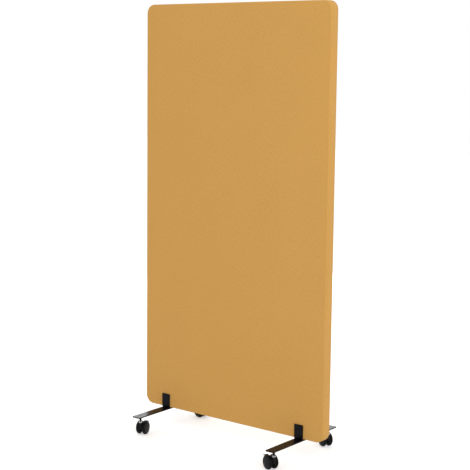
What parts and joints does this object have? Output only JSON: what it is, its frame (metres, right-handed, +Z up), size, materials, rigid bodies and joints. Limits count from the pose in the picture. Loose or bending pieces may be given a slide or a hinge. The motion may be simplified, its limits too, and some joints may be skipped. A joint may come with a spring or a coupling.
{
  "type": "partition wall",
  "caption": "Free-standing fabric-covered partition panel with rounded corners, clamped in two flat black steel feet on braked twin-wheel castors.",
  "frame": {"origin": "on the floor, under the middle of the panel", "axes": "+X along the panel to the right as seen from its front, -Y towards the front, +Z up"},
  "size_m": [0.8, 0.3979, 1.577],
  "materials": {
    "cover_fabric": "woven wool-blend upholstery fabric, mustard, matt",
    "felt": "needled polyester felt",
    "stone_wool": "pressed stone wool",
    "timber": "planed spruce",
    "beech": "turned beech",
    "foot_paint": "glossy black powder coat",
    "black_steel": "black oxide",
    "zinc_steel": "bright zinc plate",
    "black_nylon": "black moulded nylon, satin",
    "wheel_nylon": "black moulded nylon, satin",
    "tyre": "black polyurethane, satin"
  },
  "bodies": {
    "wall": {"front_cover": "cover_fabric", "rear_cover": "cover_fabric", "edge_band": "cover_fabric", "front_felt": "felt", "rear_felt": "felt", "top_rail": "timber", "bottom_rail": "timber", "left_stile": "timber", "right_stile": "timber", "mid_rail": "timber", "lower_core": "stone_wool", "upper_core": "stone_wool", "frame_dowels": "beech", "threaded_inserts": "zinc_steel", "left_foot_bar": "foot_paint", "right_foot_bar": "foot_paint", "left_saddle": "foot_paint", "right_saddle": "foot_paint", "foot_screws": "black_steel", "front_left_stem": "black_steel", "front_right_stem": "black_steel", "rear_right_stem": "black_steel", "rear_left_stem": "black_steel"},
    "front_left_castor": {"front_left_hood": "black_nylon", "front_left_collar": "zinc_steel", "front_left_axle": "zinc_steel"},
    "front_left_roller_a": {"front_left_wheel_a": "wheel_nylon", "front_left_tyre_a": "tyre"},
    "front_left_roller_b": {"front_left_wheel_b": "wheel_nylon", "front_left_tyre_b": "tyre"},
    "front_left_brake": {"front_left_pedal": "black_nylon"},
    "front_right_castor": {"front_right_hood": "black_nylon", "front_right_collar": "zinc_steel", "front_right_axle": "zinc_steel"},
    "front_right_roller_a": {"front_right_wheel_a": "wheel_nylon", "front_right_tyre_a": "tyre"},
    "front_right_roller_b": {"front_right_wheel_b": "wheel_nylon", "front_right_tyre_b": "tyre"},
    "front_right_brake": {"front_right_pedal": "black_nylon"},
    "rear_right_castor": {"rear_right_hood": "black_nylon", "rear_right_collar": "zinc_steel", "rear_right_axle": "zinc_steel"},
    "rear_right_roller_a": {"rear_right_wheel_a": "wheel_nylon", "rear_right_tyre_a": "tyre"},
    "rear_right_roller_b": {"rear_right_wheel_b": "wheel_nylon", "rear_right_tyre_b": "tyre"},
    "rear_right_brake": {"rear_right_pedal": "black_nylon"},
    "rear_left_castor": {"rear_left_hood": "black_nylon", "rear_left_collar": "zinc_steel", "rear_left_axle": "zinc_steel"},
    "rear_left_roller_a": {"rear_left_wheel_a": "wheel_nylon", "rear_left_tyre_a": "tyre"},
    "rear_left_roller_b": {"rear_left_wheel_b": "wheel_nylon", "rear_left_tyre_b": "tyre"},
    "rear_left_brake": {"rear_left_pedal": "black_nylon"}
  },
  "joints": [
    {"name": "front_left_swivel", "type": "hinge", "parent": "wall", "child": "front_left_castor", "pos_m": [-0.3, -0.168, 0.07], "axis": [0, 0, 1], "continuous": true},
    {"name": "front_left_roll_a", "type": "hinge", "parent": "front_left_castor", "child": "front_left_roller_a", "pos_m": [-0.30505, -0.14916, 0.025], "axis": [-0.9659, -0.2588, 0], "continuous": true},
    {"name": "front_left_roll_b", "type": "hinge", "parent": "front_left_castor", "child": "front_left_roller_b", "pos_m": [-0.30505, -0.14916, 0.025], "axis": [-0.9659, -0.2588, 0], "continuous": true},
    {"name": "front_left_brake_press", "type": "hinge", "parent": "front_left_castor", "child": "front_left_brake", "pos_m": [-0.30738, -0.14047, 0.0375], "axis": [-0.9659, -0.2588, 0], "range_deg": [0, 16]},
    {"name": "front_right_swivel", "type": "hinge", "parent": "wall", "child": "front_right_castor", "pos_m": [0.3, -0.168, 0.07], "axis": [0, 0, 1], "continuous": true},
    {"name": "front_right_roll_a", "type": "hinge", "parent": "front_right_castor", "child": "front_right_roller_a", "pos_m": [0.28192, -0.1607, 0.025], "axis": [-0.3746, -0.9272, 0], "continuous": true},
    {"name": "front_right_roll_b", "type": "hinge", "parent": "front_right_castor", "child": "front_right_roller_b", "pos_m": [0.28192, -0.1607, 0.025], "axis": [-0.3746, -0.9272, 0], "continuous": true},
    {"name": "front_right_brake_press", "type": "hinge", "parent": "front_right_castor", "child": "front_right_brake", "pos_m": [0.27358, -0.15732, 0.0375], "axis": [-0.3746, -0.9272, 0], "range_deg": [0, 16]},
    {"name": "rear_right_swivel", "type": "hinge", "parent": "wall", "child": "rear_right_castor", "pos_m": [0.3, 0.168, 0.07], "axis": [0, 0, 1], "continuous": true},
    {"name": "rear_right_roll_a", "type": "hinge", "parent": "rear_right_castor", "child": "rear_right_roller_a", "pos_m": [0.28263, 0.17685, 0.025], "axis": [-0.454, -0.891, 0], "continuous": true},
    {"name": "rear_right_roll_b", "type": "hinge", "parent": "rear_right_castor", "child": "rear_right_roller_b", "pos_m": [0.28263, 0.17685, 0.025], "axis": [-0.454, -0.891, 0], "continuous": true},
    {"name": "rear_right_brake_press", "type": "hinge", "parent": "rear_right_castor", "child": "rear_right_brake", "pos_m": [0.27461, 0.18094, 0.0375], "axis": [-0.454, -0.891, 0], "range_deg": [0, 16]},
    {"name": "rear_left_swivel", "type": "hinge", "parent": "wall", "child": "rear_left_castor", "pos_m": [-0.3, 0.168, 0.07], "axis": [0, 0, 1], "continuous": true},
    {"name": "rear_left_roll_a", "type": "hinge", "parent": "rear_left_castor", "child": "rear_left_roller_a", "pos_m": [-0.28051, 0.16732, 0.025], "axis": [0.0349, 0.9994, 0], "continuous": true},
    {"name": "rear_left_roll_b", "type": "hinge", "parent": "rear_left_castor", "child": "rear_left_roller_b", "pos_m": [-0.28051, 0.16732, 0.025], "axis": [0.0349, 0.9994, 0], "continuous": true},
    {"name": "rear_left_brake_press", "type": "hinge", "parent": "rear_left_castor", "child": "rear_left_brake", "pos_m": [-0.27152, 0.167, 0.0375], "axis": [0.0349, 0.9994, 0], "range_deg": [0, 16]}
  ]
}
